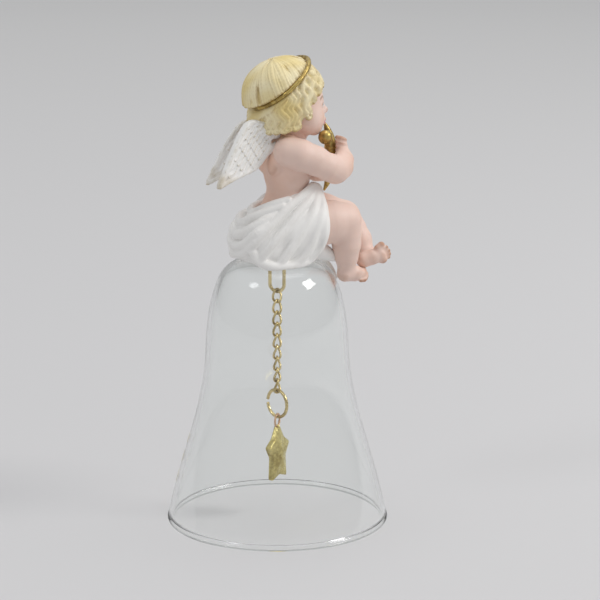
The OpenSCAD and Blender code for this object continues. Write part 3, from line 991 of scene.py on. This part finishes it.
tangled = Clay(hair_low, hair_high, hair_step)
tangled.add((cap, np.array(hair_low), np.array(hair_high)), 0.3)
pole_u = np.cross(band_axis, [0, 1, 0])
pole_u = pole_u / np.linalg.norm(pole_u)
pole_v = np.cross(band_axis, pole_u)
band_slant = math.radians(64)
ridge_count = 25
whorl = np.array([-0.40, 0.06, 0.91])
whorl = whorl / np.linalg.norm(whorl)


def under_band(phi):
    """The direction from the middle of the hair to a place under the band."""
    round_axis = pole_u * math.cos(phi) + pole_v * math.sin(phi)
    return band_axis * math.cos(band_slant) + round_axis * math.sin(band_slant)


for number in range(ridge_count):
    phi = 2 * math.pi * (number + dice.uniform(-0.2, 0.2)) / ridge_count
    sway = dice.uniform(-0.5, 0.5)
    reach = under_band(phi)
    span = math.acos(float(reach @ whorl))
    first = (0.08, 0.16, 0.24)[number % 3] if span > 0.9 else (0.2, 0.4)[number % 2]
    side = np.cross(whorl, reach) / math.sin(span)
    thick = dice.uniform(0.92, 1.2)
    points = []
    twins = [[], [], []]
    for s in np.linspace(first, 1.03, max(4, int(span * (1 - first) * 12))):
        way = (whorl * math.sin((1 - s) * span) + reach * math.sin(s * span)) / math.sin(span)
        place = hair_middle + way * hair_round + side * (sway * math.sin(5.0 * s + phi) + 0.9 * (1 - s))
        size = thick * (0.5 + 0.92 * min(1, s * span))
        points.append((*on_cap(place, 0.1), size))
        for twin, shift in zip(twins, (-0.62, 0.05, 0.66)):
            ripple = 0.16 * math.sin(9 * s + 3 * shift + phi)
            twin.append((*on_cap(place + side * (shift * size + ripple), 0.6 * size), 0.42 * size))
    for line in (points, *twins):
        strand(tangled, line, 0.03)
lock_count = 36
lock_step = 0.9
longest_lock = 30
for number in range(lock_count):
    phi = 2 * math.pi * (number + dice.uniform(-0.25, 0.25)) / lock_count
    at = on_cap(hair_middle + under_band(phi) * hair_round)
    wave = dice.uniform(0, 6.28)
    length = dice.uniform(5.0, 7.4)
    swing = dice.uniform(0.5, 1.1)
    thick = dice.uniform(0.95, 1.3)
    travelled = 0.0
    lines = [[], [], []]
    while travelled < longest_lock:
        away = at - hair_middle
        out = away / hair_base ** 2
        out = out / np.linalg.norm(out)
        fall = np.array([0.12, 0, -1.0]) + 0.5 * away / hair_round
        down = fall - out * (fall @ out)
        down = down / np.linalg.norm(down)
        side = np.cross(out, down)
        bend = side * swing * math.sin(wave + 2 * math.pi * travelled / length)
        centre = on_cap(at + bend, 0.15)
        lines[0].append((*centre, thick))
        for which, shift in ((1, -1), (2, 1)):
            beside = on_cap(at + bend + side * shift * thick * 0.82, -0.2)
            lines[which].append((*beside, thick * 0.52))
        if at[2] < hair_edge(at[0], at[1]) + 0.9:
            break
        at = on_cap(at + down * lock_step)
        travelled += lock_step
    for line in lines:
        line[-1] = (*line[-1][:3], line[-1][3] * 0.7)
        strand(tangled, line, 0.03)
    if at[0] < 7:
        curl = [
            (*(centre + side * (math.cos(a) - 1) * (0.8 if number % 2 else -0.8)
               - np.array([0, 0, 0.8]) * math.sin(a) + out * 0.45), 0.78 - 0.08 * a)
            for a in np.linspace(0, 4.2, 8)
        ]
        strand(tangled, curl, 0.03)
tangled.depth = without_slots(tangled.depth, 6, 0.3)
x, y, z = np.meshgrid(*tangled.axes, indexing="ij", sparse=True)
along = sum((p - c) * n for p, c, n in zip((x, y, z), band_centre, band_axis))
out = np.sqrt(np.maximum(sum((p - c) ** 2 for p, c in zip((x, y, z), band_centre)) - along ** 2, 0))
groove = np.abs(along) - 0.75 - 0.45 * np.maximum(out - band_radius, 0)
groove = np.maximum(groove, band_radius - 0.55 - out)
tangled.depth = -soft_union(-tangled.depth, groove.astype(np.float32), 0.35)
hair = cast("cherub_hair_casting", hair_low, hair_step, tangled.depth)
keep(hair, "hollow_shade", hollows(hair, 34))
hair_paint = Finish("cream_hair_paint", roughness=0.5, specular_ior_level=0.35)
grain = (hair_paint.noise(340, 3) - 0.3) * 0.14
# Painted shade: the crevices between ridges and locks are darkened to a deep ochre.
crevice_shade = (hair_paint.stored("hollow_shade") + grain).between(0.02, 0.28)
yellowed = hair_paint.noise(75, 2).between(0.35, 0.7)
tone = hair_paint.mix(yellowed, (0.85, 0.76, 0.50), (0.76, 0.61, 0.26))
tone = hair_paint.mix(crevice_shade, tone, (0.36, 0.22, 0.06))
hair_paint.set("Base Color", tone)
hair_paint.bump(hair_paint.noise(1300, 2), 0.00003, 0.5)
hair.data.materials.append(hair_paint.material)
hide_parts("cherub_hair")
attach(hair, "bell")

# ---------------------------------------------------------------- hair band
# A fillet round the head, cast with the hair and picked out in gold paint with a brush, so the
# gold is thin on top and the paint pools beside it.
band_line = []
for k in range(160):
    a = 2 * math.pi * k / 160
    waver = 0.05 * math.sin(5 * a + 1) + 0.03 * math.sin(11 * a)
    band_line.append(band_centre + (pole_u * math.cos(a) + pole_v * math.sin(a)) * (band_radius + waver))
band_wire_r = 0.75
band = wire("hair_band_cast", band_line, band_wire_r, 20, True)
gilt = Finish("gold_paint", metallic=0.85, roughness=0.34)
thin = (gilt.noise(280, 4) * 0.6 + gilt.noise(900, 3) * 0.4).between(0.4, 0.62)
gilt.set("Base Color", gilt.mix(thin, (0.60, 0.45, 0.15), (0.28, 0.19, 0.06)))
gilt.set("Roughness", thin * 0.2 + 0.27)
gilt.bump(gilt.noise(1100, 3), 0.00005, 0.6)
band.data.materials.append(gilt.material)
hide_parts("hair_band")
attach(band, "bell")

# ---------------------------------------------------------------- wings
# A pair of small wings cast separately and pegged into the back. Thick resin with a smooth
# raised border, rows of feathers cut inside it, white paint, and brownish painted shade in the cut grooves.
feather_rows = [(-1.5, 3.4, 1.5), (1.4, 3.4, 1.6), (4.2, 3.6, 1.75), (7.2, 4.0, 1.9), (10.4, 4.8, 2.0),
                (14.2, 6.0, 2.1), (18.6, 7.4, 2.2)]


def feathered(name, side, outline, step, bow):
    """A wing in its own slanted plane: a bordered plate with overlapping feathers on both faces."""
    line = np.array(outline, float)
    root, tip = 0.5 * (line[0] + line[-1]), line[5]
    along = (tip - root) / np.linalg.norm(tip - root)
    wide = line[1] - root
    wide = wide - along * (wide @ along)
    wide = wide / np.linalg.norm(wide)
    flat = np.cross(along, wide)
    flat_line = [(float((p - root) @ along), float((p - root) @ wide)) for p in line]
    rounded = []
    count = len(flat_line)
    for k in range(count):
        a, b, c, d = (np.array(flat_line[(k + i - 1) % count]) for i in range(4))
        for t in np.arange(0, 1, 0.25):
            rounded.append(0.5 * (2 * b + (c - a) * t + (2 * a - 5 * b + 4 * c - d) * t ** 2
                                  + (3 * b - a - 3 * c + d) * t ** 3))
    rounded = np.array(rounded)

    def plate(p):
        u = sum((p[i] - root[i]) * along[i] for i in range(3))
        v = sum((p[i] - root[i]) * wide[i] for i in range(3))
        m = sum((p[i] - root[i]) * flat[i] for i in range(3)) + bow * (v / 6) ** 2 - 0.004 * bow * u ** 2
        edge = np.full_like(u, 1e9)
        inside = np.zeros(u.shape, bool)
        for (u0, v0), (u1, v1) in zip(rounded, np.roll(rounded, -1, 0)):
            run_u, run_v = u1 - u0, v1 - v0
            t = np.clip(((u - u0) * run_u + (v - v0) * run_v) / (run_u ** 2 + run_v ** 2), 0, 1)
            edge = np.minimum(edge, (u - u0 - t * run_u) ** 2 + (v - v0 - t * run_v) ** 2)
            crosses = ((v0 > v) != (v1 > v)) & (u < u0 + run_u * (v - v0) / (run_v if run_v else 1e-9))
            inside ^= crosses
        edge = np.where(inside, np.sqrt(edge), -np.sqrt(edge))
        relief = np.zeros_like(u)
        covered = np.zeros(u.shape, bool)
        for number, (start, length, width) in enumerate(feather_rows):
            row = v / width + 0.37 * number + 0.05 * u + 0.16 * np.sin(1.3 * u + 2.1 * number)
            off = 2 * (row - np.round(row))
            end = start + length * (1 - 0.24 * off ** 2)
            rise = np.clip((u - start + 1.5) / (length + 1.5), 0, 1)
            shaft = 0.12 * np.exp(-(off / 0.16) ** 2)
            barbs = 0.035 * np.sin(7.5 * u + 4 * np.abs(off) * width)
            tall = (0.4 + 0.6 * rise) * (1 - 0.7 * off ** 2) + shaft + barbs
            relief = np.where(covered, relief, tall)
            covered |= u < end
        border = np.exp(-((edge - 0.8) / 0.7) ** 2)
        thick = 0.5 + 0.8 * relief * (1 - border) + 0.8 * border
        thick = thick * np.clip(1.25 - 0.018 * u, 0.6, 1.3)
        return -soft_union(-(np.abs(m) - thick), edge, 0.7) * 0.8
    low, high = line.min(0) - 1.8, line.max(0) + 1.8
    low, high = np.minimum(low, (-9, -8, 124)), np.maximum(high, (-0.5, 8, 136))
    if side < 0:
        high[1] = -1.0
    else:
        low[1] = 1.0
    clay = Clay(low, high, step)
    clay.add((plate, low, high), 0.1)
    clay.add(limb([
        (-1.8, side * 4.4, 134.2, 1.9), (-5.0, side * 4.8, 134.6, 1.7), (-9.0, side * 6.0, 135.6, 1.0)]), 1.2)
    clay.add(limb([(-1.6, side * 4.2, 129.6, 1.8), (-5.2, side * 4.6, 128.4, 1.2)]), 1.2)
    return cast(name, low, step, clay.depth)


right_wing_outline = [
    (-3.6, -4.6, 136.8), (-7.4, -5.4, 138.7), (-12.0, -6.9, 138.4), (-16.4, -8.1, 132.8),
    (-20.2, -8.9, 126.0), (-24.3, -9.2, 117.6), (-18.2, -7.8, 119.5), (-13.4, -6.4, 121.0),
    (-9.2, -5.2, 122.6), (-4.8, -4.0, 127.6)
]
left_wing_outline = [
    (-3.6, 4.6, 136.4), (-7.0, 5.4, 137.8), (-11.2, 6.6, 136.6), (-15.2, 7.7, 130.8),
    (-18.8, 8.3, 124.0), (-22.2, 8.4, 116.0), (-16.8, 7.2, 118.2), (-12.6, 6.0, 120.0),
    (-8.8, 5.0, 121.8), (-4.8, 4.0, 127.2)
]
white_feathers = Finish("white_feather_paint", roughness=0.5, specular_ior_level=0.35)
# Painted shade: the grooves between the feathers are darkened towards a brownish grey.
cut_shade = (white_feathers.stored("hollow_shade") + white_feathers.noise(500, 3) * 0.09).between(0.05, 0.2)
hem = white_feathers.stored("hem") * white_feathers.noise(160, 3).between(0.25, 0.6)
tone = white_feathers.mix(cut_shade * 0.75, (0.88, 0.87, 0.85), (0.48, 0.42, 0.28))
tone = white_feathers.mix(hem * 0.4, tone, (0.46, 0.34, 0.16))
white_feathers.set("Base Color", tone)
brushed = white_feathers.noise(1400, 2) + white_feathers.noise(420, 3) * 3
white_feathers.bump(brushed, 0.00008, 0.7)
for node_name, side, outline in (
        ("right_wing", -1, right_wing_outline), ("left_wing", 1, left_wing_outline)):
    wing = feathered(node_name + "_casting", side, outline, 0.17, 0.35 * side)
    x, y, z = spots(wing)
    keep(wing, "hollow_shade", hollows(wing, 16))
    keep(wing, "hem", np.clip((119.4 - 0.25 * (x + 12) - z + 0.25 * np.abs(x + 14)) / 3.2, 0, 1))
    wing.data.materials.append(white_feathers.material)
    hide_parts(node_name)
    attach(wing, "bell")

# ---------------------------------------------------------------- drape
# A cloth over the cherub's lap and hips, cast hard in the same white resin as the stem: folds
# fan down from a gather at the right side and run round the back, and the hem lies on the glass.
drape_step = 0.22
drape_low = (-19.8, -17, 80.5)
drape_high = (27, 17, 120)
cloth = Clay(drape_low, drape_high, drape_step)
cloth.build([
    ("add", 0.5, egg((-0.8, 0, 100), (13.4, 13.6, 10.4))),
    ("add", 1.5, egg((5.2, -6.6, 97.2), (8.6, 8.0, 8.0))),
    ("add", 1.5, egg((5.2, 6.6, 97.2), (8.6, 8.0, 8.0))),
    ("add", 1.5, egg((-5.0, -6.2, 97.2), (8.2, 7.4, 8.0))),
    ("add", 1.5, egg((-5.0, 6.2, 97.2), (8.2, 7.4, 8.0))),
    ("add", 1.5, egg((-0.6, 0, 94.4), (14.0, 13.6, 5.6))),
    ("add", 2.0, egg((3.2, 0, 107), (11.6, 11.8, 10.4))),
    ("add", 2.0, limb([(3.0, -6.4, 101.6, 8.6), (11.4, -7.6, 103.2, 8.6)])),
    ("add", 2.0, limb([(3.0, 6.4, 101.6, 8.6), (11.4, 7.4, 103.2, 8.5)])),
])
x, y, z = np.meshgrid(*cloth.axes, indexing="ij", sparse=True)
waist = z - (112.6 + 0.465 * x - 0.42 * np.maximum(y + 3, 0))
sleeve = x - 12.4 - 0.12 * (z - 104) - 0.25 * np.maximum(y, 0)
cloth.depth = -soft_union(-cloth.depth, -waist.astype(np.float32), 0.6)
cloth.depth = -soft_union(-cloth.depth, -sleeve.astype(np.float32), 0.8)
side_folds = [
    [(10.2, -7.4, 116.6, 0.9), (6.4, -9.4, 114.2, 1.1), (0.6, -11.2, 110.6, 1.1), (-3.6, -11.8, 106.8, 1.1),
     (-7.9, -12.0, 102.8, 1.1), (-11.3, -11.0, 98.8, 1.0), (-12.4, -9.8, 96.0, 0.7)],
    [(11.2, -7.2, 116.2, 0.9), (7.4, -10.6, 112.2, 1.2), (2.6, -12.8, 107.8, 1.2), (-1.2, -13.6, 103.7, 1.2),
     (-5.6, -13.6, 99.2, 1.2), (-9.0, -12.4, 94.6, 1.1), (-9.8, -11.2, 92.4, 0.9)],
    [(12.0, -7.0, 115.8, 0.9), (10.0, -11.0, 111.4, 1.1), (7.3, -13.4, 107.0, 1.2), (4.2, -14.2, 102.4, 1.3),
     (0.7, -14.2, 97.8, 1.3), (-2.4, -13.8, 93.6, 1.2), (-4.2, -13.4, 91.4, 0.9)],
    [(12.6, -7.0, 115.0, 0.8), (12.2, -11.4, 110.4, 1.0), (10.4, -14.2, 106.2, 1.1), (8.4, -14.8, 101.8, 1.2),
     (6.6, -14.2, 97.2, 1.3), (4.0, -13.6, 93.4, 1.3), (1.0, -13.4, 91.4, 1.0)],
    [(13.0, -7.2, 113.4, 0.7), (13.0, -11.6, 109.2, 0.8), (12.6, -14.2, 105, 0.85), (12.0, -14.6, 100.6, 0.9),
     (10.4, -13.4, 96.2, 1.0), (7.2, -12.6, 93.2, 1.0)],
]
back_folds = [
    [(0.5, -10.2, 112.7, 0.9), (-3.6, -8.6, 111.2, 1.1), (-6.9, -5.4, 109.2, 1.2), (-8.4, -1.4, 107.4, 1.2),
     (-8.5, 0, 107.2, 1.2)],
    [(-1.5, -10.6, 110.6, 0.9), (-5.8, -8.4, 108.8, 1.3), (-10.4, -5.8, 106.6, 1.4),
     (-12.2, -3.0, 104.8, 1.3), (-12.6, 0, 104.0, 1.2)],
    [(-3.7, -10.6, 107.8, 0.9), (-8.1, -9.8, 105.8, 1.3), (-11.8, -8.1, 103.2, 1.4),
     (-13.6, -5.0, 101.0, 1.4), (-14.4, 0, 100.0, 1.3)],
    [(-7.0, -11.4, 104.6, 0.9), (-10.9, -10.8, 102, 1.2), (-12.8, -8.5, 99.2, 1.4), (-14.2, -5.2, 97.2, 1.4),
     (-14.7, 0, 96.4, 1.4)],
    [(-11.6, -10.8, 99.6, 0.8), (-12.6, -9.0, 97.0, 1.2), (-13.6, -5.5, 94.6, 1.4), (-14.0, 0, 93.8, 1.4)],
]
hem_folds = [
    [(-11.6, -10.4, 95.4, 1.2), (-10.4, -11.2, 92.8, 1.3), (-6.6, -13, 91.2, 1.4), (-2.4, -13.6, 90.9, 1.3),
     (2.4, -13.2, 91.2, 1.3), (6.6, -12, 92.2, 1.3), (9.4, -9.6, 93.6, 1.3), (11.6, -6.4, 94.2, 1.3)],
    [(11.0, -6.4, 95.4, 2.6), (14.8, -5.4, 93.4, 2.3), (18.0, -4.4, 91.6, 1.6), (20.8, -3.4, 90.2, 0.6)],
    [(11.4, -2.4, 93.6, 1.6), (15.4, -2.2, 90.2, 1.1), (18.4, -1.6, 87.0, 0.9), (20.6, -1.0, 83.4, 0.6)],
    [(11.8, 6.4, 94.2, 1.4), (9.2, 10.2, 93.2, 1.4), (4.4, 12.8, 91.6, 1.4), (-1.6, 13.4, 91.0, 1.4),
     (-7.4, 12, 91.8, 1.3), (-12.4, 7.6, 93.2, 1.3), (-14.6, 2.0, 93.4, 1.3)],
]
mirrored = []
for fold in side_folds:
    mirrored.append([(x, -y, z - 1.2 if x > 4 and z > 108 else z, r) for x, y, z, r in fold])
low_back_z = 96
for fold in back_folds:
    mirrored.append([(x, -y, low_back_z + (z - low_back_z) * (1 + 0.022 * y), r) for x, y, z, r in fold])
plumper = np.array([0, 0, 0, 0.3])
for fold in side_folds + back_folds + hem_folds + mirrored:
    cloth.add(limb(curve(np.array(fold) + plumper)), 0.55)
lap_folds = [
    [(12.6, -6.0, 114.6, 1.0), (12.8, -1.5, 112.0, 1.2), (12.4, 3.0, 110.0, 1.2), (11.6, 7.8, 108.6, 1.2)],
    [(13.2, -5.6, 112.2, 1.0), (13.6, -1.2, 109.0, 1.3), (13.2, 3.0, 107.4, 1.3), (12.6, 7.4, 107.2, 1.2)],
    [(13.4, -2.8, 107.4, 1.0), (13.8, 0, 104.6, 1.5), (13.4, 3.0, 104.2, 1.3)],
]
for fold in lap_folds:
    cloth.add(limb(curve(fold)), 0.95)
cloth.depth = without_slots(cloth.depth, 6, 0.34)
round_dome = bezier([(19.6, 85), (16.5, 91.5), (9, 92.6), (0, 92.6)], np.linspace(0, 1, 24))
dome_r = [p[0] for p in reversed(round_dome)] + [21.5, 23.5]
dome_z = [p[1] for p in reversed(round_dome)] + [80.0, 72.0]
over_glass = np.interp(np.sqrt(x ** 2 + y ** 2), dome_r, dome_z) + 0.05
cloth.depth = -soft_union(-cloth.depth, (z - over_glass).astype(np.float32) * 0.8, 0.2)
drape = cast("drape_casting", drape_low, drape_step, cloth.depth)
keep(drape, "hollow_shade", hollows(drape, 30))
linen = Finish("white_drape_paint", roughness=0.48, specular_ior_level=0.35)
# Painted shade: the hollows between the folds are darkened towards a warm grey-brown.
fold_shade = (linen.stored("hollow_shade") + (linen.noise(300, 3) - 0.5) * 0.12).between(0.04, 0.42)
tone = linen.mix(fold_shade * 0.7, (0.86, 0.85, 0.83), (0.44, 0.38, 0.29))
linen.set("Base Color", tone)
linen.bump(linen.noise(900, 3) + linen.noise(160, 2), 0.00004, 0.5)
drape.data.materials.append(linen.material)
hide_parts("drape")
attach(drape, "bell")

# ---------------------------------------------------------------- crescent
# A plump crescent that the cherub holds upright at the chest, its horns towards the body. It is
# part of the figure's casting, painted gold.
gold_step = 0.16
horn_low = (14, -3.2, 112)
horn = Clay(horn_low, (23.5, 3.2, 138), gold_step)
horn_line = [
    (17.1, 0, 136.2, 0.4), (18.2, 0, 133.6, 1.2), (19.0, 0, 130.6, 1.8), (19.3, 0, 127.6, 2.2),
    (19.4, 0, 124.8, 2.3), (19.2, 0, 121.8, 2.1), (18.8, 0, 118.8, 1.6), (18.1, 0, 116, 1.0),
    (17.0, 0, 113.6, 0.4)
]
horn.add(limb(curve(horn_line, 12)), 0.1)
crescent = cast("crescent_casting", horn_low, gold_step, horn.depth)
crescent.data.materials.append(gilt.material)
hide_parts("crescent_moon")
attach(crescent, "bell")

# ---------------------------------------------------------------- knob
# A ball on the near side of the crescent, below its upper horn, cast with it and painted with
# the same gold.
knob_low = (13, -6, 128.4)
knob_clay = Clay(knob_low, (19.8, 0.8, 135.2), gold_step)
knob_clay.add(egg((16.4, -2.6, 131.8), (2.4, 2.4, 2.45)), 0.2)
knob = cast("knob_casting", knob_low, gold_step, knob_clay.depth)
knob.data.materials.append(gilt.material)
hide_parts("moon_knob")
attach(knob, "bell")
